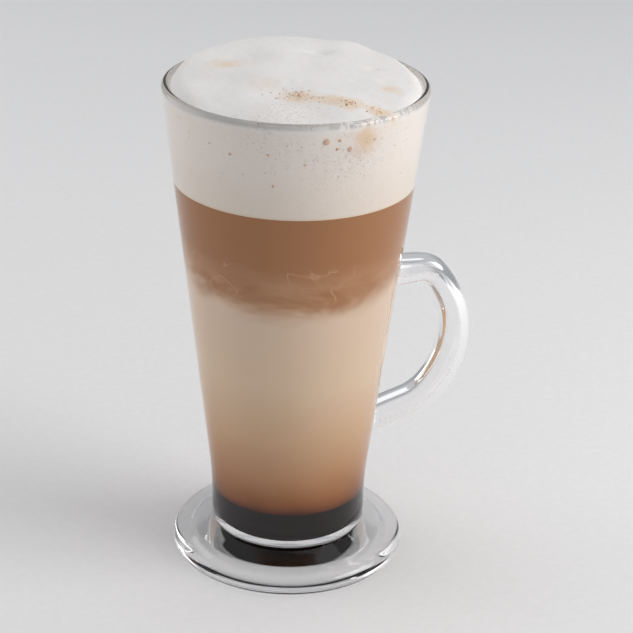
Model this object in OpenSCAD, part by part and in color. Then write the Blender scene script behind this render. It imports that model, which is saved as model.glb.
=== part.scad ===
// A layered latte in a footed glass with a handle.
// Origin: centre of the ring that the foot stands on. +Z is up, and the handle points along +X.

/* [Glass] */
// Height of the glass, from the table to the top of its rim
glass_h = 148; // [120:1:180]
// Diameter across the rim
rim_d = 76; // [62:1:92]
// Diameter of the body just above the foot
body_d = 46.6; // [38:0.2:56]
// Height at which the upright lower wall would meet the straight flare
flare_z = 23.4; // [20:0.2:28]
// Length of the soft bend on each side of that meeting
flare_blend = 6.4; // [5:0.2:7.6]
// Thickness of the wall
wall_t = 2.6; // [2.1:0.1:3.2]
// Thickness of the glass under the drink
base_t = 9.4; // [7.8:0.2:11.2]
// Radius between the inside floor and the inside wall
floor_r = 7.4; // [6:0.2:9]

/* [Foot] */
// Diameter of the foot
foot_d = 70.2; // [60:0.2:84]
// Thickness of the foot at its edge
foot_t = 5.4; // [4.5:0.1:6.5]
// Radius of the foot's lower edge
foot_low_r = 2.4; // [1.6:0.1:2.8]
// Radius of the foot's upper edge
foot_up_r = 2.7; // [2:0.1:3.2]
// Diameter at which the foot's top turns up towards the body
foot_slope_d = 57.4; // [52:0.2:60]
// Height of that turn
foot_slope_z = 6.4; // [5.6:0.1:7.4]
// Radius of the rounded lower edge of the body, above the foot
body_low_r = 1.2; // [1:0.1:1.8]
// Height at which that rounded edge begins
body_low_z = 11; // [10.4:0.1:12.6]
// Inner diameter of the ring that the foot stands on
stand_d = 60; // [54:0.5:62]
// How far the underside steps up inside that ring
stand_step = 0.85; // [0.6:0.05:1.2]
// Height of the shallow hollow under the middle of the foot
hollow_h = 2.5; // [1.8:0.1:3]

/* [Handle] */
// Height of the middle of the handle's top arm
handle_z = 86; // [72:1:92]
// How far the handle stands out from the wall beside its top arm
handle_reach = 27.3; // [22.7:0.1:32.8]
// Width of the handle, across its flat sides
handle_w = 9.2; // [7.6:0.2:11.2]
// Thickness of the handle's outer bow, between its inner and outer faces
handle_t = 9.1; // [7.6:0.1:11]
// Thickness of the handle at the end of its top arm
neck_t = 7.8; // [6.6:0.1:9.4]
// Thickness of the handle where it leaves the wall
root_t = 9.4; // [7.8:0.1:11.2]
// Radius of the handle's long edges
handle_edge_r = 2.4; // [1.8:0.1:2.9]
// Radius of the tight bend after the top arm
bend_r = 6.5; // [5.5:0.5:8]
// Radius of the long upper side
side_r = 34.5; // [30:0.5:40]
// Radius of the outer bow
bow_r = 26.6; // [22:0.2:31]
// Radius of the bend into the lower arm
tail_r = 10; // [8.5:0.5:12]

/* [Drink] */
// How far under the rim the foam meets the wall
foam_under_rim = 1.8; // [1.5:0.1:3]
// Depth of the foam against the wall
foam_depth = 27; // [22:1:33]
// Depth of the brown coffee layer
coffee_depth = 30.6; // [25:0.2:37]
// Depth of the dark layer on the glass floor
syrup_depth = 11; // [9.2:0.2:13.2]
// How far the crest of the foam stands above the rim
foam_crest = 4.4; // [3.6:0.1:5.4]
// Radius of the foam's domed top
foam_dome_r = 168; // [140:1:200]
// How far the crest lies behind the middle of the glass
foam_crest_y = 8; // [6:0.5:10]
// Radius of the foam's shoulder along the wall
foam_shoulder_r = 4; // [3:0.5:5]

/* [Hidden] */

$fn = 96;
// Steps along one rounded stretch of an outline
arc_steps = 10;
// Steps along the handle's arms, its bends, its outer bow, and round each corner of its section
straight_steps = 5;
bend_steps = 5;
bow_steps = 16;
corner_steps = 4;

// Turns of the four bends of the handle, downwards from its level top arm
bend_a = 49;
side_a = 19;
bow_a = 70;
tail_a = 28;
// Angle at which the body's rounded lower edge ends on the foot
crease_a = -70;
// Diameters of the level middle of the hollow, and of the hollow where the step begins
hollow_flat_d = 12;
hollow_d = stand_d - 4;

rim_r = rim_d / 2;
body_r = body_d / 2;
foot_r = foot_d / 2;
lip_r = wall_t / 2;
lip_z = glass_h - lip_r;

// The outside of the flare rises along one straight line to the rim
flare_a = atan((rim_r - body_r) / (lip_z - flare_z));
function wall_r(z) = body_r + (z - flare_z) * tan(flare_a);

// Levels of the drink, from the glass floor up
syrup_z = base_t + syrup_depth;
foam_edge_z = glass_h - foam_under_rim;
foam_z = foam_edge_z - foam_depth;
coffee_z = foam_z - coffee_depth;

// Points of a round stretch, from angle a0 to a1
function arc(x, z, r, a0, a1) =
    [for (i = [0 : arc_steps]) let (a = a0 + (a1 - a0) * i / arc_steps) [x + r * cos(a), z + r * sin(a)]];

function reversed(points) = [for (i = [len(points) - 1 : -1 : 0]) points[i]];

// The soft bend between the upright wall and the flare, moved inwards by an inset
bend_wall_r = flare_blend / tan(flare_a / 2);
function wall_bend(inset) =
    arc(body_r - inset + bend_wall_r, flare_z - flare_blend, bend_wall_r, 180, 180 - flare_a);

// The foot's upper edge never rounds more than the foot is thick
up_r = min(foot_up_r, foot_t - foot_low_r);

function foot_outline() = concat(
    [[0, hollow_h], [hollow_flat_d / 2, hollow_h], [hollow_d / 2, stand_step], [stand_d / 2, 0]],
    arc(foot_r - foot_low_r, foot_low_r, foot_low_r, -90, 0),
    arc(foot_r - up_r, foot_t - up_r, up_r, 0, 90),
    [[foot_slope_d / 2, foot_slope_z]]
);

function body_outline() = concat(
    arc(body_r - body_low_r, body_low_z, body_low_r, crease_a, 0),
    wall_bend(0),
    arc(rim_r - lip_r, lip_z, lip_r, 0, 180)
);

// The rounding of the inside floor ends below the wall's soft bend
bowl_r = min(floor_r, flare_z - flare_blend - base_t);

// The inside of the glass, from the axis out and up to the start of the lip
function inside_outline() = concat(
    [[0, base_t]],
    arc(body_r - wall_t - bowl_r, base_t + bowl_r, bowl_r, -90, 0),
    wall_bend(wall_t),
    [[rim_r - wall_t, lip_z]]
);

module bowl() {
    rotate_extrude()
        polygon(concat(foot_outline(), body_outline(), reversed(inside_outline())));
}

// Headings of the handle below the horizontal, after each bend
side_h = bend_a + side_a;
tail_h = side_h + bow_a;
end_h = tail_h + tail_a;

// The handle's middle line, in X and Z, starts and ends inside the wall
handle_root_x = wall_r(handle_z) - wall_t / 2;
bow_x = wall_r(handle_z) + handle_reach - handle_t / 2;
arm_l = bow_x - handle_root_x
    - bend_r * sin(bend_a)
    - side_r * (sin(side_h) - sin(bend_a))
    - bow_r * (1 - sin(side_h));

// Where a bend leads, and the points along it as [x, z, heading]
function bend_to(p, h, r, a) = [p.x + r * (sin(h + a) - sin(h)), p.y + r * (cos(h + a) - cos(h))];
function bend(p, h, r, a, steps) =
    [for (i = [1 : steps]) let (part = a * i / steps) concat(bend_to(p, h, r, part), h + part)];

arm_p = [handle_root_x + arm_l, handle_z];
side_p = bend_to(arm_p, 0, bend_r, bend_a);
bow_p = bend_to(side_p, bend_a, side_r, side_a);
tail_p = bend_to(bow_p, side_h, bow_r, bow_a);
end_p = bend_to(tail_p, tail_h, tail_r, tail_a);
tail_l = (end_p.x - wall_r(end_p.y) + wall_t / 2) / (-cos(end_h) - tan(flare_a) * sin(end_h));

handle_line = concat(
    [for (i = [0 : straight_steps]) [handle_root_x + arm_l * i / straight_steps, handle_z, 0]],
    bend(arm_p, 0, bend_r, bend_a, bend_steps),
    bend(side_p, bend_a, side_r, side_a, bend_steps),
    bend(bow_p, side_h, bow_r, bow_a, bow_steps),
    bend(tail_p, tail_h, tail_r, tail_a, bend_steps),
    [for (i = [1 : straight_steps])
        let (l = tail_l * i / straight_steps)
            [end_p.x + l * cos(end_h), end_p.y - l * sin(end_h), end_h]]
);

// Thickness at each point of the line: thick roots, a slim bend and a fuller bow
last_ring = len(handle_line) - 1;
function handle_t_at(i) =
    lookup(i, [
        [0, root_t],
        [straight_steps, neck_t],
        [straight_steps + 2 * bend_steps + bow_steps / 2, handle_t],
        [last_ring, root_t]
    ]);

// A rounded rectangle of thickness t: [outwards, across] from the middle line
function handle_section(t) =
    let (x = t / 2 - handle_edge_r, y = handle_w / 2 - handle_edge_r)
        concat(
            corner(x, y, 0),
            corner(-x, y, 90),
            corner(-x, -y, 180),
            corner(x, -y, 270)
        );
function corner(x, y, a0) =
    [for (i = [0 : corner_steps]) let (a = a0 + 90 * i / corner_steps)
        [x + handle_edge_r * cos(a), y + handle_edge_r * sin(a)]];

handle_points = [
    for (i = [0 : last_ring], q = handle_section(handle_t_at(i)))
        let (p = handle_line[i]) [p[0] + q.x * sin(p[2]), q.y, p[1] + q.x * cos(p[2])]
];

module handle() {
    n = len(handle_section(handle_t));
    last = len(handle_points) - 1;
    polyhedron(
        handle_points,
        concat(
            [[for (j = [0 : n - 1]) n - 1 - j]],
            [for (i = [0 : last_ring - 1], j = [0 : n - 1])
                let (k = (j + 1) % n) [i * n + j, i * n + k, (i + 1) * n + k, (i + 1) * n + j]],
            [[for (j = [0 : n - 1]) last + 1 - n + j]]
        )
    );
}

module glass() {
    color([0.82, 0.86, 0.87, 0.35])
        union() {
            bowl();
            handle();
        }
}

// What fills the inside of the glass between two levels
module filling(z0, z1) {
    intersection() {
        rotate_extrude()
            polygon(concat(inside_outline(), [[0, lip_z]]));
        translate([-rim_r, -rim_r, z0])
            cube([rim_d, rim_d, z1 - z0]);
    }
}

// The foam's outline: up the wall, over a round shoulder and in to the axis
foam_edge_r = wall_r(foam_edge_z) - wall_t;
function foam_outline() = concat(
    [[0, foam_z], [wall_r(foam_z) - wall_t, foam_z]],
    arc(foam_edge_r - foam_shoulder_r, foam_edge_z, foam_shoulder_r, 0, 90),
    [[0, glass_h + foam_crest + foam_shoulder_r]]
);

module syrup() {
    color([0.14, 0.09, 0.08])
        filling(base_t, syrup_z);
}

module milk() {
    color([0.80, 0.68, 0.57])
        filling(syrup_z, coffee_z);
}

module coffee() {
    color([0.60, 0.42, 0.29])
        filling(coffee_z, foam_z);
}

// A broad dome whose crest stands behind the middle of the glass
module foam_dome() {
    crest_z = glass_h + foam_crest;
    a = asin(rim_d / foam_dome_r);
    translate([0, foam_crest_y, 0])
        rotate_extrude()
            polygon(concat(
                [[0, coffee_z], [rim_d, coffee_z]],
                arc(0, crest_z - foam_dome_r, foam_dome_r, 90 - a, 90)
            ));
}

module foam() {
    color([0.93, 0.91, 0.89])
        intersection() {
            rotate_extrude()
                polygon(foam_outline());
            foam_dome();
        }
}

glass();
syrup();
milk();
coffee();
foam();
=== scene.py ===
import math

import bpy
import numpy as np
from mathutils import Matrix, Vector


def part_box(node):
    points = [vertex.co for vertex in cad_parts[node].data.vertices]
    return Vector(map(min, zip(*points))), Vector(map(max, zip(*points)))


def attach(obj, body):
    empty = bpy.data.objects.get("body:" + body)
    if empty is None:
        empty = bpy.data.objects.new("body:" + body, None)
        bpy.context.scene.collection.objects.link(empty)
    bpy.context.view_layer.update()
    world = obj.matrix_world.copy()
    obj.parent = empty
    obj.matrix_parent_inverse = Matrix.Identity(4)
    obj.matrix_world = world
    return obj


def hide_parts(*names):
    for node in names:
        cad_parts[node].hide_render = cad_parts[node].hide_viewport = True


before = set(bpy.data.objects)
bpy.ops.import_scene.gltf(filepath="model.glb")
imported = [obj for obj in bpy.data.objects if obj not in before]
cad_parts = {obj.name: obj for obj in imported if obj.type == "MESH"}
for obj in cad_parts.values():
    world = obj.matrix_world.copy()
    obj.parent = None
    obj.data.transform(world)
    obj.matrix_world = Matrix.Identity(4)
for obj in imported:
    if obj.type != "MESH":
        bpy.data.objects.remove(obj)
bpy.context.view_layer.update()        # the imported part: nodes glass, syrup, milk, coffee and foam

mm = 0.001

# The axis of the glass is Z, and the handle points along +X.
glassLow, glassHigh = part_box("glass")
rimRadius = glassHigh.y
rimHeight = glassHigh.z
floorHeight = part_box("syrup")[0].z
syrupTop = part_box("syrup")[1].z
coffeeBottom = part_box("coffee")[0].z
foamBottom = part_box("foam")[0].z
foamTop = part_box("foam")[1].z


# Camera: it stands on the handle's near side, above the rim, and looks down at the glass
viewpoint = {
    "turn": math.radians(21.486),    # from straight in front, about Z
    "distance": 0.54183,             # from the axis of the glass
    "height": 0.32224,
    "yaw": 0.0137,
    "pitch": 0.4271,
    "roll": 0.0262,
    "lens": 114.37,
}
away = Vector((math.sin(viewpoint["turn"]), math.cos(viewpoint["turn"]), 0))
toRight = Vector((away.y, -away.x, 0))


def makeCamera():
    yaw, pitch, roll = (viewpoint[k] for k in ("yaw", "pitch", "roll"))
    turned = Matrix.Rotation(-viewpoint["turn"], 3, "Z")
    forward = turned @ Vector(
        (math.sin(yaw) * math.cos(pitch), math.cos(yaw) * math.cos(pitch), -math.sin(pitch))
    )
    level = turned @ Vector((math.cos(yaw), -math.sin(yaw), 0))
    upright = level.cross(forward)
    right = math.cos(roll) * level + math.sin(roll) * upright
    up = math.cos(roll) * upright - math.sin(roll) * level
    place = -away * viewpoint["distance"] + Vector((0, 0, viewpoint["height"]))
    camera = bpy.data.objects.new("camera", bpy.data.cameras.new("camera"))
    bpy.context.scene.collection.objects.link(camera)
    camera.matrix_world = Matrix(
        (
            (right.x, up.x, -forward.x, place.x),
            (right.y, up.y, -forward.y, place.y),
            (right.z, up.z, -forward.z, place.z),
            (0, 0, 0, 1),
        )
    )
    camera.data.lens = viewpoint["lens"]
    camera.data.clip_start = 0.01
    bpy.context.scene.camera = camera


makeCamera()
print("camera placed")


# Outlines, each an array of (radius, height) points

def roundedOutline(corners, angleStep=7.5, straightStep=3 * mm):
    # Each corner is (radius, height, fillet). A fillet is the arc that touches both of
    # its corner's sides, and straight stretches are cut into even steps.
    points = np.array([c[:2] for c in corners], float)
    stretches = [points[:1]]
    for i in range(1, len(corners) - 1):
        corner, fillet = points[i], corners[i][2]
        before = points[i - 1] - corner
        after = points[i + 1] - corner
        before /= np.linalg.norm(before)
        after /= np.linalg.norm(after)
        between = math.acos(np.clip(before @ after, -1, 1))
        reach = fillet / math.tan(between / 2)
        middle = (before + after) / np.linalg.norm(before + after)
        centre = corner + middle * fillet / math.sin(between / 2)
        start = corner + before * reach - centre
        end = corner + after * reach - centre
        turn = math.atan2(start[0] * end[1] - start[1] * end[0], start @ end)
        steps = max(3, math.ceil(abs(math.degrees(turn)) / angleStep))
        a = np.linspace(0, turn, steps + 1)[:, None]
        square = np.array([-start[1], start[0]])
        stretches.append(centre + np.cos(a) * start + np.sin(a) * square)
    stretches.append(points[-1:])
    out = [stretches[0]]
    for stretch in stretches[1:]:
        gap = np.linalg.norm(stretch[0] - out[-1][-1])
        steps = max(1, math.ceil(gap / straightStep))
        along = np.linspace(0, 1, steps + 1)[1:-1, None]
        out.append(out[-1][-1] + along * (stretch[0] - out[-1][-1]))
        out.append(stretch)
    return np.concatenate(out)


def meshPiece(name, points, faces, smooth=True):
    mesh = bpy.data.meshes.new(name)
    mesh.from_pydata(points.tolist(), [], faces)
    mesh.validate()
    if smooth:
        mesh.shade_smooth()
    piece = bpy.data.objects.new(name, mesh)
    bpy.context.scene.collection.objects.link(piece)
    return piece


def gridFaces(rows, columns):
    # Quads between the rows of a grid whose columns close into a ring
    i, j = np.meshgrid(np.arange(rows - 1), np.arange(columns), indexing="ij")
    k = (j + 1) % columns
    quads = np.stack(
        (i * columns + j, i * columns + k, (i + 1) * columns + k, (i + 1) * columns + j), -1
    )
    return quads.reshape(-1, 4)


def closedGrid(name, grid, first, last):
    # grid is rows x columns x 3, in rings that run anticlockwise seen from above while
    # the rows go outwards and up. A fan to the point first, and one to last, close it.
    rows, columns = grid.shape[:2]
    points = np.concatenate((grid.reshape(-1, 3), [first], [last]))
    faces = gridFaces(rows, columns).tolist()
    j = np.arange(columns)
    k = (j + 1) % columns
    low, high = rows * columns, rows * columns + 1
    faces += np.stack((k, j, np.full(columns, low)), 1).tolist()
    top = (rows - 1) * columns
    faces += np.stack((top + j, top + k, np.full(columns, high)), 1).tolist()
    return meshPiece(name, points, faces)


def revolved(name, outline, steps=192):
    # The outline starts and ends on the axis: each other point (r, z) goes round to
    # (r cos a, r sin a, z)
    a = np.linspace(0, 2 * math.pi, steps, endpoint=False)
    ring = outline[1:-1]
    grid = np.stack(
        (
            ring[:, :1] * np.cos(a),
            ring[:, :1] * np.sin(a),
            np.repeat(ring[:, 1:], steps, axis=1),
        ),
        -1,
    )
    return closedGrid(name, grid, (0, 0, outline[0, 1]), (0, 0, outline[-1, 1]))


# Glass: a turned bowl and foot, and a swept handle melted onto it

bowl = {
    "bodyRadius": 23.3 * mm,         # of the upright lower wall
    "flareHeight": 23.4 * mm,        # where the upright wall would meet the flare
    "flareBlend": 107 * mm,
    "wall": 2.6 * mm,
    "floorFillet": 7.4 * mm,
    "footRadius": 35.1 * mm,
    "footThickness": 5.4 * mm,
    "footLowerEdge": 2.4 * mm,
    "footUpperEdge": 2.7 * mm,
    "slopeRadius": 28.7 * mm,        # where the foot's top turns up to the body
    "slopeHeight": 6.4 * mm,
    "creaseRadius": 22.2 * mm,
    "creaseHeight": 9.55 * mm,
    "bodyEdge": 1.2 * mm,            # the rounded lower edge of the body
    "bodyEdgeHeight": 10.4 * mm,
    "standRadius": 30 * mm,          # inside of the ring that the foot stands on
    "stepRadius": 28 * mm,
    "stepHeight": 0.85 * mm,
    "hollowRadius": 6 * mm,          # level middle of the hollow underneath
    "hollowHeight": 2.5 * mm,
}
lip = bowl["wall"] / 2
flare = (rimRadius - bowl["bodyRadius"]) / (rimHeight - lip - bowl["flareHeight"])


def wallRadius(z):
    # Outside of the flare: one straight line up to the lip
    return bowl["bodyRadius"] + (z - bowl["flareHeight"]) * flare


innerSide = [
    (wallRadius(rimHeight) - bowl["wall"], rimHeight, lip * 0.98),
    (bowl["bodyRadius"] - bowl["wall"], bowl["flareHeight"], bowl["flareBlend"]),
    (bowl["bodyRadius"] - bowl["wall"], floorHeight, bowl["floorFillet"]),
    (0, floorHeight, 0),
]
outerSide = [
    (0, bowl["hollowHeight"], 0),
    (bowl["hollowRadius"], bowl["hollowHeight"], 100 * mm),
    (bowl["stepRadius"], bowl["stepHeight"], 1.5 * mm),
    (bowl["standRadius"], 0, 1.2 * mm),
    (bowl["footRadius"], 0, bowl["footLowerEdge"]),
    (bowl["footRadius"], bowl["footThickness"], bowl["footUpperEdge"]),
    (bowl["slopeRadius"], bowl["slopeHeight"], 3 * mm),
    (bowl["creaseRadius"], bowl["creaseHeight"], 0.35 * mm),
    (bowl["bodyRadius"], bowl["bodyEdgeHeight"], bowl["bodyEdge"]),
    (bowl["bodyRadius"], bowl["flareHeight"], bowl["flareBlend"]),
    (wallRadius(rimHeight), rimHeight, lip * 0.98),
]

handle = {
    "armHeight": 86 * mm,            # middle of the level top arm
    "arm": 11.3 * mm,
    # turn in degrees and radius of each bend, from the arm round to the tail
    "bends": ((49, 6.5 * mm), (19, 34.5 * mm), (67, 26.6 * mm), (31, 15 * mm)),
    "tail": 16 * mm,
    "width": 9.6 * mm,
    # thickness at shares of the way round
    "thickness": ((0, 9.9), (0.14, 8.2), (0.5, 9.5), (0.8, 9.4), (1, 8.8)),
    "edge": 3.6 * mm,
    "crown": 0.25 * mm,              # bulge of the sides between the rounded edges
    "weld": 2.2 * mm,                # radius of the fillet onto the wall
    "soften": 3 * mm,                # stretch over which each bend eases in
    "fitFrom": 7 * mm,               # from the wall, where the rings start to follow it
    "fitOver": 4 * mm,
    "ringStep": 0.8 * mm,
    "cornerSteps": 8,
}


def handlePath():
    # Heading is the integral of one over the bend radius, softened at each change, and
    # the path is the integral of the heading's direction
    step = 0.05 * mm
    lengths = [handle["arm"]]
    curvatures = [0.0]
    for turn, radius in handle["bends"]:
        lengths.append(math.radians(turn) * radius)
        curvatures.append(1 / radius)
    lengths.append(handle["tail"])
    curvatures.append(0.0)
    ends = np.cumsum(lengths)
    s = np.arange(0, ends[-1], step)
    bend = np.array(curvatures)[np.searchsorted(ends, s, side="right").clip(0, len(ends) - 1)]
    window = round(handle["soften"] / step)
    bend = np.convolve(bend, np.ones(window) / window, mode="same")
    heading = -np.cumsum(bend) * step
    x = wallRadius(handle["armHeight"]) - bowl["wall"] / 2 + np.cumsum(np.cos(heading)) * step
    z = handle["armHeight"] + np.cumsum(np.sin(heading)) * step
    return s, x, z, heading


def roundedSection(halfWidth, halfThickness, edge):
    # Four quarter circles of the edge radius, with slightly crowned sides between them,
    # anticlockwise in (width, thickness)
    steps = handle["cornerSteps"]
    a = np.linspace(0, math.pi / 2, steps)
    quarters = []
    for k, (u, v) in enumerate(((1, 1), (-1, 1), (-1, -1), (1, -1))):
        turned = a + k * math.pi / 2
        quarters.append(
            np.stack(
                (
                    u * (halfWidth - edge) + edge * np.cos(turned),
                    v * (halfThickness - edge) + edge * np.sin(turned),
                ),
                1,
            )
        )
        nextU, nextV = ((-1, 1), (-1, -1), (1, -1), (1, 1))[k]
        start = quarters[-1][-1]
        end = np.array(
            (
                nextU * (halfWidth - edge) + edge * math.cos(turned[-1]),
                nextV * (halfThickness - edge) + edge * math.sin(turned[-1]),
            )
        )
        share = np.linspace(0, 1, 6)[1:-1, None]
        outwards = np.array((math.cos(turned[-1]), math.sin(turned[-1])))
        crown = handle["crown"] * 4 * share * (1 - share)
        quarters.append(start + share * (end - start) + crown * outwards)
    return np.concatenate(quarters)


def handleSweep():
    s, x, z, heading = handlePath()
    # The rounded section goes along the path, square to it, and grows by a quarter
    # circle at both ends to meet the wall in a fillet
    clearance = np.hypot(x, 0) - wallRadius(z)           # from the wall's outside
    weld = handle["weld"]
    phase = np.radians((0, 15, 30, 45, 60, 72, 82, 88))
    weldClear = weld * (1 - np.sin(phase))
    weldGrow = weld * (1 - np.cos(phase))
    half = len(s) // 2
    firstS = np.interp(weldClear, clearance[:half], s[:half])
    lastS = np.interp(weldClear, clearance[half:][::-1], s[half:][::-1])
    rings = math.ceil((lastS[0] - firstS[0]) / handle["ringStep"])
    between = np.linspace(firstS[0], lastS[0], rings)[1:-1]
    at = np.concatenate(([s[2]], firstS[::-1], between, lastS, [s[-3]]))
    grow = np.concatenate(
        ([weld], weldGrow[::-1], np.zeros(len(between)), weldGrow, [weld])
    )
    shares, thick = np.array(handle["thickness"]).T
    thickness = np.interp(at / s[-1], shares, thick) * mm
    rows = []
    for k in range(len(at)):
        px, pz, angle = (np.interp(at[k], s, v) for v in (x, z, heading))
        section = roundedSection(
            handle["width"] / 2 + grow[k], thickness[k] / 2 + grow[k], handle["edge"] + grow[k]
        )
        wide, tall = section.T
        ring = np.stack(
            (px - np.sin(angle) * tall, -wide, pz + np.cos(angle) * tall), 1
        )
        # Near the wall, each point slides along the heading until it stands as far from
        # the wall as the middle of the ring does
        clear = px - wallRadius(pz)
        share = np.clip((handle["fitFrom"] - clear) / handle["fitOver"], 0, 1)
        share = share * share * (3 - 2 * share)
        ahead = np.array((np.cos(angle), 0, np.sin(angle)))
        slid = ring.copy()
        for _ in range(6):
            radial = np.hypot(slid[:, 0], slid[:, 1])
            off = radial - wallRadius(slid[:, 2]) - clear
            slope = slid[:, 0] / radial * ahead[0] - flare * ahead[2]
            slid -= (off / slope)[:, None] * ahead
        rows.append(ring + share * (slid - ring))
    return np.array(rows)


def makeGlass():
    outline = roundedOutline(outerSide + innerSide)
    body = revolved("glassBowl", outline)
    grid = handleSweep()
    arm = closedGrid("glassHandle", grid, grid[0].mean(0), grid[-1].mean(0))
    union = body.modifiers.new("handle", "BOOLEAN")
    union.operation = "UNION"
    union.solver = "MANIFOLD"
    union.object = arm
    merged = bpy.data.meshes.new_from_object(
        body.evaluated_get(bpy.context.evaluated_depsgraph_get())
    )
    bpy.data.objects.remove(arm)
    bpy.data.objects.remove(body)
    piece = bpy.data.objects.new("glass_body", merged)
    merged.name = "glass_body"
    bpy.context.scene.collection.objects.link(piece)
    merged.shade_smooth()
    return piece


glass = makeGlass()
print("glass made:", len(glass.data.polygons), "faces")


# What fills the glass reaches a little into its wall, so that no air shows between them

filling = {
    "intoWall": 0.15 * mm,
    "besideCorner": 0.02,            # place of an extra ring by a corner, share of a step
    "discRings": (0.999, 0.8, 0.6, 0.4, 0.2, 0),
    "steps": 160,
}
innerOutline = roundedOutline(innerSide[::-1])


def innerRadius(z):
    return np.interp(z, innerOutline[1:, 1], innerOutline[1:, 0]) + filling["intoWall"]


def fillingOutline(low, high, step=1.5 * mm):
    # Along the inside of the wall from low to high, closed by flat discs
    onFloor = low <= floorHeight + 0.01 * mm
    if onFloor:
        side = innerOutline[(innerOutline[:, 1] < high)][1:]
        side = np.concatenate((side, [[np.interp(high, side[:, 1], side[:, 0]), high]]))
        tangent = np.gradient(side, axis=0)
        tangent /= np.linalg.norm(tangent, axis=1)[:, None]
        side = side + filling["intoWall"] * np.stack((tangent[:, 1], -tangent[:, 0]), 1)
        side[-1, 1] = high
        low = side[0, 1]
    else:
        z = np.linspace(low, high, math.ceil((high - low) / step) + 1)
        side = np.stack((innerRadius(z), z), 1)
    # A ring just beside each corner keeps smooth shading off the flat discs
    near = filling["besideCorner"]
    side = np.insert(side, -1, side[-1] + (side[-2] - side[-1]) * near, axis=0)
    side = np.insert(side, 1, side[0] + (side[1] - side[0]) * near, axis=0)
    inwards = np.array(filling["discRings"])[:, None]
    count = len(inwards)
    top = np.concatenate((side[-1, 0] * inwards, np.full((count, 1), side[-1, 1])), 1)
    bottom = np.concatenate((side[0, 0] * inwards[::-1][1:], np.full((count - 1, 1), low)), 1)
    return np.concatenate(([[0, low]], bottom, side, top))


syrup = revolved("syrup_layer", fillingOutline(floorHeight, syrupTop), filling["steps"])
milk = revolved("milk_layer", fillingOutline(syrupTop, coffeeBottom), filling["steps"])
coffee = revolved("coffee_layer", fillingOutline(coffeeBottom, foamBottom), filling["steps"])
print("drink made")


# Foam: a mound that leans away from the camera's side, with a rounded shoulder at the wall

foamShape = {
    "edgeUnderRim": 1.8 * mm,
    "crestX": 3 * mm,                # middle of the mound
    "crestY": 14 * mm,
    "domeRadius": 220 * mm,
    "shoulder": 4 * mm,
    "swell": (0.35 * mm, 22 * mm),   # height and size of its soft unevenness
    "ripple": (0.03 * mm, 4.5 * mm),
    "crowding": 1.25,                # above 1, the rings crowd towards the wall
    "rings": 150,
    "steps": 320,
}
foamEdge = rimHeight - foamShape["edgeUnderRim"]
# Dents in the top, and a low swelling with its depth below zero: x, y, half width,
# half length, depth, and the turn of the long side
foamDents = (
    (12.6, 13.6, 1.3, 3.2, 1.1, -20),
    (12.0, 10.6, 1.2, 1.8, 0.6, 10),
    (22.0, -3.9, 1.1, 2.0, 0.6, -20),
    (17.0, -7.0, 2.2, 3.6, 0.3, -30),
    (21.5, -12.6, 1.3, 1.8, 0.4, -20),
    (14.2, -11.5, 1.6, 2.4, 0.25, -30),
    (-18.0, 24.0, 8.0, 8.0, -0.5, 0),
    (24.0, 20.0, 5.0, 5.0, -0.4, 0),
)


def swellNoise(x, y, size, seed, waves=14):
    # A sum of plane waves in seeded directions, about one wave to each size
    rng = np.random.default_rng(seed)
    angle = rng.uniform(0, 2 * math.pi, waves)
    pitch = 2 * math.pi / size * rng.uniform(0.6, 1.5, waves)
    phase = rng.uniform(0, 2 * math.pi, waves)
    total = np.zeros_like(x)
    for k in range(waves):
        total += np.sin(pitch[k] * (np.cos(angle[k]) * x + np.sin(angle[k]) * y) + phase[k])
    return total / math.sqrt(waves)


def foamHeight(x, y):
    # A dome, less each dent's bell curve, brought down to the edge by a quarter circle
    # over the last stretch before the wall
    dome = foamTop - ((x - foamShape["crestX"]) ** 2 + (y - foamShape["crestY"]) ** 2) / (
        2 * foamShape["domeRadius"]
    )
    swell, swellSize = foamShape["swell"]
    ripple, rippleSize = foamShape["ripple"]
    dome = dome + swell * swellNoise(x, y, swellSize, 3)
    dome = dome + ripple * swellNoise(x, y, rippleSize, 5, 30)
    for dx, dy, halfWide, halfLong, deep, turn in foamDents:
        c, s = math.cos(math.radians(turn)), math.sin(math.radians(turn))
        u = (c * (x - dx * mm) + s * (y - dy * mm)) / (halfLong * mm)
        v = (-s * (x - dx * mm) + c * (y - dy * mm)) / (halfWide * mm)
        dome = dome - deep * mm * np.exp(-(u * u + v * v))
    gap = innerRadius(foamEdge) - np.hypot(x, y)
    rise = np.clip(1 - gap / foamShape["shoulder"], 0, 1)
    return foamEdge + (dome - foamEdge) * np.sqrt(1 - rise * rise)


def makeFoam():
    # Rings up the inside of the wall, then rings inwards over the top at foamHeight
    steps, rings = foamShape["steps"], foamShape["rings"]
    a = np.linspace(0, 2 * math.pi, steps, endpoint=False)
    outline = fillingOutline(foamBottom, foamEdge)
    side = outline[1 : -1 - len(filling["discRings"])]   # up to just below the edge
    sideGrid = np.stack(
        (
            side[:, :1] * np.cos(a),
            side[:, :1] * np.sin(a),
            np.repeat(side[:, 1:], steps, axis=1),
        ),
        -1,
    )
    share = 1 - np.linspace(0, 1, rings + 1)[1:-1] ** foamShape["crowding"]
    r = side[-1, 0] * share[:, None]
    x, y = r * np.cos(a), r * np.sin(a)
    topGrid = np.stack((x, y, foamHeight(x, y)), -1)
    middle = foamHeight(np.zeros(1), np.zeros(1))[0]
    grid = np.concatenate((sideGrid, topGrid))
    return closedGrid("foam_head", grid, (0, 0, foamBottom), (0, 0, middle))


foam = makeFoam()
print("foam made:", len(foam.data.polygons), "faces")


# Specks of coffee lie along a streak on the foam, and bubbles sit against the glass

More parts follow.
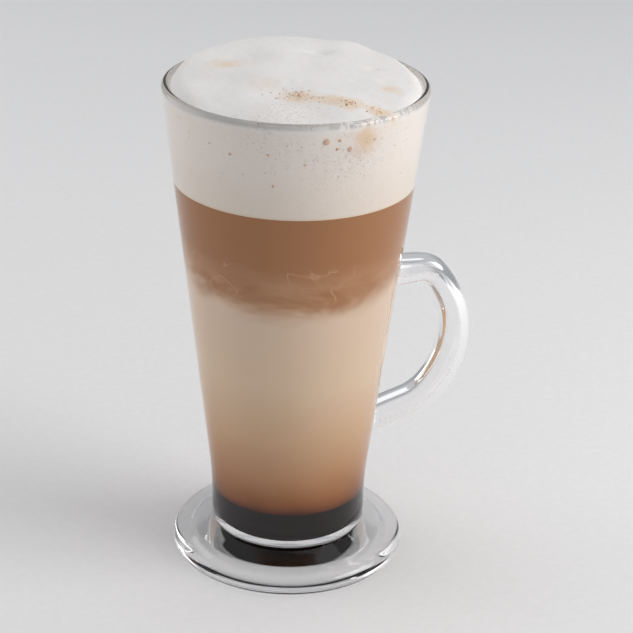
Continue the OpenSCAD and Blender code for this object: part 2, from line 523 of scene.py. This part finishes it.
speckShape = {
    "radius": (0.1, 0.26),           # least and most, in mm
    "squash": 0.5,
    "stretch": (1, 1.5),
    "lift": 0.1,                     # of a speck's own radius, above the foam
    "fromWall": 1.5 * mm,
    # x, y, spread along the streak and across it in mm, and how many
    "clusters": (
        (-6.8, -16.6, 2.4, 1.9, 70),
        (-1.5, -21.2, 3.0, 1.2, 16),
        (5.2, -25.6, 1.9, 1.2, 34),
        (11.2, -29.4, 1.6, 1.6, 22),
        (-12.0, -14.0, 4.0, 3.0, 5),
    ),
    "streakTurn": -41,               # degrees
}
bubbleShape = {
    "flat": 0.3 * mm,                # how far a bubble bulges into the glass
    # degrees round the glass, height and radius in mm
    "large": (
        (-98, 142.7, 0.95),
        (-87, 140.0, 0.75),
        (-93, 140.4, 0.42),
        (-92, 142.9, 0.42),
        (-75, 141.8, 0.38),
        (-141, 137.3, 0.42),
        (-123, 138.6, 0.36),
        (-121, 129.4, 0.4),
        (-107, 136.1, 0.35),
        (38, 139.0, 0.8),
        (62, 141.5, 0.5),
        (150, 138.0, 0.6),
    ),
    "fine": 110,                     # all round
    "fineRadius": (0.12, 0.3),
    "froth": 150,                    # in a patch on the camera's side
    "frothRadius": (0.08, 0.16),
    "frothTurn": (-92, 12),          # middle and spread
    "frothHeight": (136 * mm, 4 * mm),
}
golden = (1 + math.sqrt(5)) / 2      # a ball of twenty equal faces
ballPoints = np.array(
    [
        (-1, golden, 0), (1, golden, 0), (-1, -golden, 0), (1, -golden, 0),
        (0, -1, golden), (0, 1, golden), (0, -1, -golden), (0, 1, -golden),
        (golden, 0, -1), (golden, 0, 1), (-golden, 0, -1), (-golden, 0, 1),
    ]
) / math.hypot(1, golden)
ballFaces = np.array(
    [
        (0, 11, 5), (0, 5, 1), (0, 1, 7), (0, 7, 10), (0, 10, 11),
        (1, 5, 9), (5, 11, 4), (11, 10, 2), (10, 7, 6), (7, 1, 8),
        (3, 9, 4), (3, 4, 2), (3, 2, 6), (3, 6, 8), (3, 8, 9),
        (4, 9, 5), (2, 4, 11), (6, 2, 10), (8, 6, 7), (9, 8, 1),
    ]
)


def smoothBall():
    # Each face of the twenty-sided ball splits in four, with its new points pushed out
    edges = np.sort(ballFaces[:, [0, 1, 1, 2, 2, 0]].reshape(-1, 2), axis=1)
    pairs, which = np.unique(edges, axis=0, return_inverse=True)
    middles = ballPoints[pairs].sum(1)
    middles /= np.linalg.norm(middles, axis=1)[:, None]
    ab, bc, ca = (which.reshape(-1, 3) + len(ballPoints)).T
    a, b, c = ballFaces.T
    faces = np.concatenate(
        [np.stack(f, 1) for f in ((a, ab, ca), (b, bc, ab), (c, ca, bc), (ab, bc, ca))]
    )
    return np.concatenate((ballPoints, middles)), faces


def scattered(name, shape, faces, centres, axes):
    # One copy of the shape at each centre: axes holds each copy's three half axes
    points = centres[:, None] + np.einsum("pk,nkx->npx", shape, axes)
    shift = np.arange(len(centres))[:, None, None] * len(shape)
    allFaces = (faces[None] + shift).reshape(-1, 3)
    return meshPiece(name, points.reshape(-1, 3), allFaces.tolist())


def makeSpecks():
    rng = np.random.default_rng(11)
    turn = math.radians(speckShape["streakTurn"])
    along = np.array((math.cos(turn), math.sin(turn)))
    across = np.array((-along[1], along[0]))
    places = []
    for x, y, far, wide, count in speckShape["clusters"]:
        forth = rng.normal(0, far, count)[:, None] * along
        aside = rng.normal(0, wide, count)[:, None] * across
        places.append((np.array((x, y)) + (forth + aside)) * mm)
    places = np.concatenate(places)
    widest = innerRadius(foamEdge) - speckShape["fromWall"]
    places = places[np.hypot(places[:, 0], places[:, 1]) < widest]
    count = len(places)
    least, most = speckShape["radius"]
    size = (least + (most - least) * rng.random(count) ** 2) * mm
    spin = rng.uniform(0, 2 * math.pi, count)
    stretch = rng.uniform(*speckShape["stretch"], count)
    zero = np.zeros(count)
    axes = np.stack(
        (
            np.stack((np.cos(spin) * size * stretch, np.sin(spin) * size * stretch, zero), 1),
            np.stack((-np.sin(spin) * size, np.cos(spin) * size, zero), 1),
            np.stack((zero, zero, size * speckShape["squash"]), 1),
        ),
        1,
    )
    height = foamHeight(places[:, 0], places[:, 1]) + size * speckShape["lift"]
    centres = np.column_stack((places, height))
    return scattered("coffee_specks", ballPoints, ballFaces, centres, axes)


def bubblesAt(name, turn, height, radius):
    # Flattened balls on the foam's side, each bulging a little into the glass
    a = np.radians(turn)
    r = innerRadius(height)
    outwards = np.stack((np.cos(a), np.sin(a), np.zeros_like(a)), 1)
    sideways = np.stack((-np.sin(a), np.cos(a), np.zeros_like(a)), 1)
    upwards = np.stack((flare * np.cos(a), flare * np.sin(a), np.ones_like(a)), 1)
    bulge = np.minimum(bubbleShape["flat"], radius * 0.5)[:, None]
    axes = np.stack((sideways * radius[:, None], upwards * radius[:, None], outwards * bulge), 1)
    centres = np.column_stack((r * np.cos(a), r * np.sin(a), height))
    shape, faces = smoothBall()
    return scattered(name, shape, faces, centres, axes)


def makeFroth():
    rng = np.random.default_rng(23)
    fine, froth = bubbleShape["fine"], bubbleShape["froth"]
    turn = np.concatenate(
        (rng.uniform(0, 360, fine), rng.normal(*bubbleShape["frothTurn"], froth))
    )
    # Those all round gather towards the top
    lift = (foamEdge - foamBottom) * (0.3 + 0.6 * rng.random(fine) ** 0.7)
    low, high = foamBottom + 3 * mm, foamEdge - 1.5 * mm
    frothy = np.clip(rng.normal(*bubbleShape["frothHeight"], froth), low, high)
    height = np.concatenate((foamBottom + lift, frothy))
    fineRadius = rng.uniform(*bubbleShape["fineRadius"], fine)
    frothRadius = rng.uniform(*bubbleShape["frothRadius"], froth)
    radius = np.concatenate((fineRadius, frothRadius)) * mm
    return bubblesAt("foam_froth", turn, height, radius)


specks = makeSpecks()
largeTurn, largeHeight, largeRadius = np.array(bubbleShape["large"]).T
bubbles = bubblesAt("foam_bubbles", largeTurn, largeHeight * mm, largeRadius * mm)
froth = makeFroth()
smallFaces = [len(piece.data.polygons) for piece in (specks, bubbles, froth)]
print("specks, bubbles and froth made:", *smallFaces, "faces")


# Materials. A node's inputs are named in a dictionary: a socket is linked, a value is set.

def node(tree, kind, inputs=None, **settings):
    made = tree.nodes.new("ShaderNode" + kind)
    for key, value in settings.items():
        setattr(made, key, value)
    for key, value in (inputs or {}).items():
        if isinstance(value, bpy.types.NodeSocket):
            tree.links.new(value, made.inputs[key])
        else:
            made.inputs[key].default_value = value
    return made


def colour(red, green, blue):
    # A screen colour, 0 to 255, as the linear colour that shaders use
    values = [c / 255 for c in (red, green, blue)]
    return [*(c / 12.92 if c <= 0.04045 else ((c + 0.055) / 1.055) ** 2.4 for c in values), 1]


def newMaterial(name):
    material = bpy.data.materials.new(name)
    material.use_nodes = True
    tree = material.node_tree
    shader = tree.nodes["Principled BSDF"]
    place = node(tree, "TexCoord").outputs["Object"]
    return material, tree, shader, place


def blended(tree, share, first, second, mode="MIX"):
    mix = node(tree, "Mix", data_type="RGBA", blend_type=mode)
    for socket, value in ((mix.inputs[0], share), (mix.inputs[6], first), (mix.inputs[7], second)):
        if isinstance(value, bpy.types.NodeSocket):
            tree.links.new(value, socket)
        else:
            socket.default_value = value
    return mix.outputs[2]


def maths(tree, operation, first, second=0.0, third=0.0):
    return node(tree, "Math", {0: first, 1: second, 2: third}, operation=operation).outputs[0]


def ranged(tree, value, low, high, toLow=0.0, toHigh=1.0, kind="SMOOTHSTEP"):
    return node(
        tree,
        "MapRange",
        {"Value": value, "From Min": low, "From Max": high, "To Min": toLow, "To Max": toHigh},
        interpolation_type=kind,
    ).outputs[0]


def spot(tree, place, centre, size, turn=0.0, soft=1.0):
    # 1 at the centre, falling to 0 at the edge of an ellipsoid of the half sizes given
    local = node(
        tree,
        "Mapping",
        {"Vector": place, "Location": centre, "Rotation": (0, 0, turn), "Scale": size},
        vector_type="TEXTURE",
    ).outputs[0]
    length = node(tree, "VectorMath", {0: local}, operation="LENGTH").outputs["Value"]
    return ranged(tree, length, 1 - soft, 1.0, 1.0, 0.0)


glassFinish = {
    "clear": (0.985, 0.982, 0.988, 1),
    # painted shade: the grey given to the lip, standing in for the shade seen through its edge
    "lip": (0.42, 0.42, 0.41, 1),
    "lipShadeFade": (2.2 * mm, 0.7 * mm), # below the rim, from clear to full
    # middle and half sizes of the streaky dried froth
    "frost": ((0.011, -0.0365, 0.1462), (0.027, 0.012, 0.0052)),
    "roughest": 0.05,
}


def glassMaterial():
    material, tree, shader, place = newMaterial("clear_pressed_glass")
    # Painted shade: the melted lip is tinted grey to stand in for the shade seen through its own
    # edge
    height = node(tree, "SeparateXYZ", {"Vector": place}).outputs[2]
    edge = ranged(tree, height, *(rimHeight - depth for depth in glassFinish["lipShadeFade"]))
    # Dried froth stands in fine upright streaks inside the lip, by the handle's near side
    upright = node(tree, "Mapping", {"Vector": place, "Scale": (1, 1, 0.12)}).outputs[0]
    streaks = node(tree, "TexNoise", {"Vector": upright, "Scale": 750.0, "Detail": 2.0})
    frost = maths(
        tree,
        "MULTIPLY",
        ranged(tree, streaks.outputs[0], 0.4, 0.56),
        spot(tree, place, *glassFinish["frost"], soft=0.7),
    )
    edge = maths(tree, "MULTIPLY", edge, maths(tree, "SUBTRACT", 1.0, frost))
    # painted shade: the lip's grey is blended into the clear glass colour
    lipShadeTone = blended(tree, edge, glassFinish["clear"], glassFinish["lip"])
    tree.links.new(lipShadeTone, shader.inputs["Base Color"])
    shader.inputs["IOR"].default_value = 1.5
    shader.inputs["Transmission Weight"].default_value = 1
    ripple = node(tree, "TexNoise", {"Vector": place, "Scale": 70.0, "Detail": 1.0})
    wave = node(tree, "Bump", {"Height": ripple.outputs[0], "Strength": 0.12, "Distance": 0.0004})
    tree.links.new(wave.outputs[0], shader.inputs["Normal"])
    film = node(tree, "TexNoise", {"Vector": place, "Scale": 45.0, "Detail": 5.0})
    tree.links.new(
        ranged(tree, film.outputs[0], 0.45, 0.8, 0.0, glassFinish["roughest"]),
        shader.inputs["Roughness"],
    )
    # Light reaches what the glass holds straight through it
    path = node(tree, "LightPath")
    straight = maths(
        tree, "MAXIMUM", path.outputs["Is Shadow Ray"], path.outputs["Is Diffuse Ray"]
    )
    clear = node(tree, "BsdfTransparent", {"Color": (0.95, 0.95, 0.95, 1)})
    mix = node(
        tree, "MixShader", {0: straight, 1: shader.outputs[0], 2: clear.outputs[0]}
    )
    tree.links.new(mix.outputs[0], tree.nodes["Material Output"].inputs["Surface"])
    return material


drinkColours = {
    # height in mm, and the colour of the drink there
    "milk": (
        (20.4, (76, 34, 14)),
        (22.5, (125, 70, 33)),
        (26.0, (152, 98, 56)),
        (33.0, (178, 129, 90)),
        (46.5, (203, 165, 129)),
        (64.0, (218, 190, 161)),
        (88.0, (219, 192, 168)),
    ),
    "coffee": (162, 109, 67),
    "wisp": (204, 162, 126),
    "drift": 5 * mm,                 # unevenness of the milk's levels
    "cloud": 11 * mm,                # unevenness of the coffee's underside
    "sag": (-3.2 * mm, 0.9 * mm),    # how low it hangs all round, and in front
}


def drinkMaterial():
    material, tree, shader, place = newMaterial("milky_coffee")
    height = node(tree, "SeparateXYZ", {"Vector": place}).outputs[2]
    low = drinkColours["milk"][0][0] * mm
    high = drinkColours["milk"][-1][0] * mm
    cloud = node(tree, "TexNoise", {"Vector": place, "Scale": 55.0, "Detail": 4.0})
    drift = drinkColours["drift"]
    drift = maths(tree, "MULTIPLY_ADD", cloud.outputs[0], drift, -drift / 2)
    share = ranged(tree, maths(tree, "ADD", height, drift), low, high, kind="LINEAR")
    ramp = node(tree, "ValToRGB", {0: share})
    band = ramp.color_ramp
    for k, (z, tone) in enumerate(drinkColours["milk"]):
        at = (z * mm - low) / (high - low)
        stop = band.elements[k] if k < 2 else band.elements.new(at)
        stop.position = at
        stop.color = colour(*tone)
    # The coffee's underside is a soft cloud, with pale wisps of milk drawn up into it
    squat = node(tree, "Mapping", {"Vector": place, "Scale": (1, 1, 2.0)}).outputs[0]
    cloudy = node(
        tree,
        "TexNoise",
        {"Vector": squat, "Scale": 42.0, "Detail": 4.0, "Roughness": 0.55, "Distortion": 0.4},
    ).outputs[0]
    lift = drinkColours["cloud"]
    lifted = maths(tree, "MULTIPLY_ADD", cloudy, lift, -lift / 2)
    # On the camera's side the cloud hangs lower than it does all round
    facing = node(
        tree, "VectorMath", {0: place, 1: (-0.34, -0.94, 0)}, operation="DOT_PRODUCT"
    ).outputs["Value"]
    raised = ranged(tree, facing, 15 * mm, 29 * mm, *drinkColours["sag"])
    level = maths(tree, "ADD", maths(tree, "ADD", height, lifted), raised)
    inCoffee = ranged(tree, level, coffeeBottom - 3.2 * mm, coffeeBottom + 5.4 * mm)
    haze = maths(
        tree,
        "MULTIPLY",
        ranged(tree, cloudy, 0.36, 0.66, 1, 0),
        ranged(tree, height, coffeeBottom + 3 * mm, coffeeBottom + 17 * mm, 0.8, 0),
    )
    threads = node(
        tree,
        "TexNoise",
        {"Vector": squat, "Scale": 34.0, "Detail": 2.0, "Distortion": 1.3},
    ).outputs[0]
    middle = maths(tree, "ABSOLUTE", maths(tree, "SUBTRACT", threads, 0.5))
    thin = ranged(tree, middle, 0.0, 0.015, 1, 0)
    zone = maths(
        tree,
        "MULTIPLY",
        ranged(tree, height, coffeeBottom + 1 * mm, coffeeBottom + 6 * mm),
        ranged(tree, height, coffeeBottom + 13 * mm, coffeeBottom + 17 * mm, 0.5, 0),
    )
    coffeeTone = blended(
        tree,
        maths(tree, "MAXIMUM", maths(tree, "MULTIPLY", thin, zone), haze),
        colour(*drinkColours["coffee"]),
        colour(*drinkColours["wisp"]),
    )
    tone = blended(tree, inCoffee, ramp.outputs[0], coffeeTone)
    tree.links.new(tone, shader.inputs["Base Color"])
    shader.inputs["Roughness"].default_value = 0.4
    shader.inputs["Specular IOR Level"].default_value = 0.0
    return material


syrupColours = ((10, 4, 4), (22, 10, 8))


def syrupMaterial():
    material, tree, shader, place = newMaterial("dark_coffee_syrup")
    cloud = node(tree, "TexNoise", {"Vector": place, "Scale": 80.0, "Detail": 3.0})
    tone = blended(tree, cloud.outputs[0], *(colour(*c) for c in syrupColours))
    tree.links.new(tone, shader.inputs["Base Color"])
    shader.inputs["Roughness"].default_value = 0.25
    shader.inputs["Specular IOR Level"].default_value = 0.0
    return material


foamColours = {
    "top": ((229, 225, 221), (239, 236, 233)),
    "side": ((229, 216, 203), (236, 226, 217)),          # low down, and near the rim
    "smudge": (228, 196, 158),
    "cream": (226, 202, 172),
    "grain": (206, 196, 188),
    "pore": (186, 170, 158),
}
# Beige smudges: middle in mm, half sizes in mm, turn in degrees, strength
foamSmudges = (
    ((-16.8, 11.8, 151), (7.5, 5.5, 9), -21, 0.6),
    ((21.2, -17.9, 149), (4.2, 4.6, 9), -21, 0.55),
    ((-6.5, -17.5, 150), (7.5, 6.0, 9), -35, 0.75),
    ((-12.0, -8.0, 150), (8.0, 7.0, 9), -35, 0.2),
    ((-1.0, -21.5, 149), (8.0, 3.6, 9), -35, 0.5),
    ((5.0, -25.0, 149), (8.5, 5.0, 9), -35, 0.75),
    ((12.5, -30.0, 147), (6.5, 5.0, 6), -30, 0.8),
    ((6.5, -35.0, 141.8), (6.2, 4.5, 6.5), 0, 1.0),
)


def foamMaterial():
    material, tree, shader, place = newMaterial("milk_foam")
    height = node(tree, "SeparateXYZ", {"Vector": place}).outputs[2]
    mottle = node(tree, "TexNoise", {"Vector": place, "Scale": 90.0, "Detail": 6.0})
    tone = blended(tree, mottle.outputs[0], *(colour(*c) for c in foamColours["top"]))
    # Against the glass the foam is a little warmer, most of all low down
    warm = blended(
        tree,
        ranged(tree, height, foamBottom, foamEdge - 6 * mm),
        *(colour(*c) for c in foamColours["side"]),
    )
    beside = ranged(tree, height, foamEdge - 2 * mm, foamEdge + 0.6 * mm, 1.0, 0.0)
    tone = blended(tree, beside, tone, warm)
    wobble = node(tree, "TexNoise", {"Vector": place, "Scale": 260.0, "Detail": 5.0})
    push = node(
        tree, "VectorMath", {0: wobble.outputs[1], 1: (0.5, 0.5, 0.5)}, operation="SUBTRACT"
    ).outputs[0]
    moved = node(
        tree, "VectorMath", {0: push, 1: (0.006, 0.006, 0.006), 2: place}, operation="MULTIPLY_ADD"
    ).outputs[0]
    for centre, size, turn, strength in foamSmudges:
        mask = spot(
            tree,
            moved,
            [v * mm for v in centre],
            [v * mm for v in size],
            math.radians(turn),
        )
        share = maths(tree, "MULTIPLY", mask, strength)
        tone = blended(tree, share, tone, colour(*foamColours["smudge"]))
    # A cream line where the foam meets the coffee
    cream = ranged(tree, height, foamBottom, foamBottom + 1.1 * mm, 0.7, 0.0)
    tone = blended(tree, cream, tone, colour(*foamColours["cream"]))
    # Fine pores
    cells = node(tree, "TexVoronoi", {"Vector": place, "Scale": 900.0})
    pore = ranged(tree, cells.outputs["Distance"], 0.12, 0.3, 1.0, 0.0)
    pick = node(tree, "SeparateXYZ", {"Vector": cells.outputs["Color"]}).outputs[0]
    pore = maths(tree, "MULTIPLY", pore, maths(tree, "GREATER_THAN", pick, 0.6))
    # Coarser froth shows near the rim on the camera's side, and against the glass there
    frothy = maths(
        tree,
        "MAXIMUM",
        spot(tree, moved, (-0.013, -0.026, 0.148), (0.02, 0.013, 0.02)),
        spot(tree, moved, (0.003, -0.034, 0.138), (0.017, 0.009, 0.010)),
    )
    sand = node(tree, "TexNoise", {"Vector": place, "Scale": 1700.0, "Detail": 2.0})
    grains = maths(tree, "MULTIPLY", ranged(tree, sand.outputs[0], 0.44, 0.6), frothy)
    share = maths(tree, "MULTIPLY", grains, 0.45)
    tone = blended(tree, share, tone, colour(*foamColours["grain"]))
    tone = blended(
        tree,
        maths(tree, "MULTIPLY", pore, maths(tree, "MULTIPLY_ADD", frothy, 0.5, 0.2)),
        tone,
        colour(*foamColours["pore"]),
    )
    tree.links.new(tone, shader.inputs["Base Color"])
    froth = node(tree, "TexNoise", {"Vector": place, "Scale": 1500.0, "Detail": 3.0})
    relief = maths(tree, "SUBTRACT", froth.outputs[0], maths(tree, "MULTIPLY", pore, 0.8))
    bump = node(tree, "Bump", {"Height": relief, "Strength": 0.22, "Distance": 0.00025})
    tree.links.new(bump.outputs[0], shader.inputs["Normal"])
    shader.inputs["Roughness"].default_value = 0.75
    shader.inputs["Specular IOR Level"].default_value = 0.15
    shader.inputs["Subsurface Weight"].default_value = 0.25
    shader.inputs["Subsurface Radius"].default_value = (1.0, 0.85, 0.7)
    shader.inputs["Subsurface Scale"].default_value = 0.0015
    return material


speckColours = ((140, 98, 66), (206, 162, 116))
bubbleColours = {
    "large_bubbles": ((204, 162, 130), (212, 186, 166)),
    "fine_froth": ((216, 190, 170), (218, 206, 198)),
}


def speckMaterial():
    material, tree, shader, place = newMaterial("coffee_specks")
    patch = node(tree, "TexNoise", {"Vector": place, "Scale": 900.0, "Detail": 1.0}).outputs[0]
    pick = ranged(tree, patch, 0.4, 0.62)
    tone = blended(tree, pick, *(colour(*c) for c in speckColours))
    tree.links.new(tone, shader.inputs["Base Color"])
    shader.inputs["Roughness"].default_value = 0.55
    return material


def bubbleMaterial(name):
    material, tree, shader, place = newMaterial(name)
    patch = node(tree, "TexNoise", {"Vector": place, "Scale": 160.0, "Detail": 2.0}).outputs[0]
    pick = ranged(tree, patch, 0.4, 0.6)
    tone = blended(tree, pick, *(colour(*c) for c in bubbleColours[name]))
    tree.links.new(tone, shader.inputs["Base Color"])
    shader.inputs["Roughness"].default_value = 0.5
    shader.inputs["Specular IOR Level"].default_value = 0.0
    return material


def finishPiece(piece, material, slot, *nodes):
    piece.data.materials.clear()
    piece.data.materials.append(material)
    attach(piece, "root")
    if nodes:
        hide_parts(*nodes)


drink = drinkMaterial()
finishPiece(glass, glassMaterial(), "glass", "glass")
finishPiece(syrup, syrupMaterial(), "syrup", "syrup")
finishPiece(milk, drink, "milk", "milk")
finishPiece(coffee, drink, "coffee", "coffee")
finishPiece(foam, foamMaterial(), "foam", "foam")
finishPiece(specks, speckMaterial(), "foam")
finishPiece(bubbles, bubbleMaterial("large_bubbles"), "foam")
finishPiece(froth, bubbleMaterial("fine_froth"), "foam")
print("materials made")


# Studio: a pale floor and soft lights

studio = {
    "floor": (234, 233, 232),
    "floorHalf": 3.0,
    "floorHeight": -0.3 * mm,
    "sky": (236, 238, 242),
    "skyStrength": (0.4, 0.6),      # at the horizon, and overhead
    # name: sideways, away and up from the glass in metres, size, watts
    "lights": {
        "right": ((0.76, -0.2, 0.5), 0.7, 5.0),
        "left": ((-0.9, 0.3, 0.35), 1.0, 3.4),
        "above": ((0.1, 0.25, 1.0), 0.8, 0.7),
    },
}


def softLight(name, offset, size, watts):
    lamp = bpy.data.lights.new(name, "AREA")
    lamp.shape = "DISK"
    lamp.size = size
    lamp.energy = watts
    light = bpy.data.objects.new(name, lamp)
    bpy.context.scene.collection.objects.link(light)
    aim = Vector((0, 0, 0.08))
    light.location = toRight * offset[0] + away * offset[1] + Vector((0, 0, offset[2]))
    light.rotation_mode = "QUATERNION"
    light.rotation_quaternion = (light.location - aim).to_track_quat("Z", "Y")


def makeStudio():
    half, z = studio["floorHalf"], studio["floorHeight"]
    corners = np.array([(-half, -half, z), (half, -half, z), (half, half, z), (-half, half, z)])
    ground = meshPiece("floor", corners, [(0, 1, 2, 3)], smooth=False)
    material, tree, shader, place = newMaterial("studio_paper")
    grain = node(tree, "TexNoise", {"Vector": place, "Scale": 400.0, "Detail": 3.0})
    r, g, b = studio["floor"]
    darker, lighter = colour(r - 4, g - 4, b - 4), colour(r + 4, g + 4, b + 4)
    tone = blended(tree, grain.outputs[0], darker, lighter)
    tree.links.new(tone, shader.inputs["Base Color"])
    shader.inputs["Roughness"].default_value = 0.8
    ground.data.materials.append(material)
    world = bpy.data.worlds.new("studio")
    bpy.context.scene.world = world
    world.use_nodes = True
    sky = world.node_tree.nodes["Background"]
    sky.inputs["Color"].default_value = colour(*studio["sky"])
    direction = node(world.node_tree, "TexCoord").outputs["Generated"]
    upward = node(world.node_tree, "SeparateXYZ", {"Vector": direction}).outputs[2]
    strength = ranged(world.node_tree, upward, 0.0, 0.7, *studio["skyStrength"])
    world.node_tree.links.new(strength, sky.inputs["Strength"])
    for name, (offset, size, watts) in studio["lights"].items():
        softLight(name, offset, size, watts)


makeStudio()
scene = bpy.context.scene
scene.view_settings.view_transform = "Standard"
scene.cycles.max_bounces = 16
scene.cycles.transmission_bounces = 16
scene.cycles.glossy_bounces = 8
scene.cycles.transparent_max_bounces = 24
scene.cycles.sample_clamp_indirect = 5
scene.cycles.use_denoising = True
print("studio made")
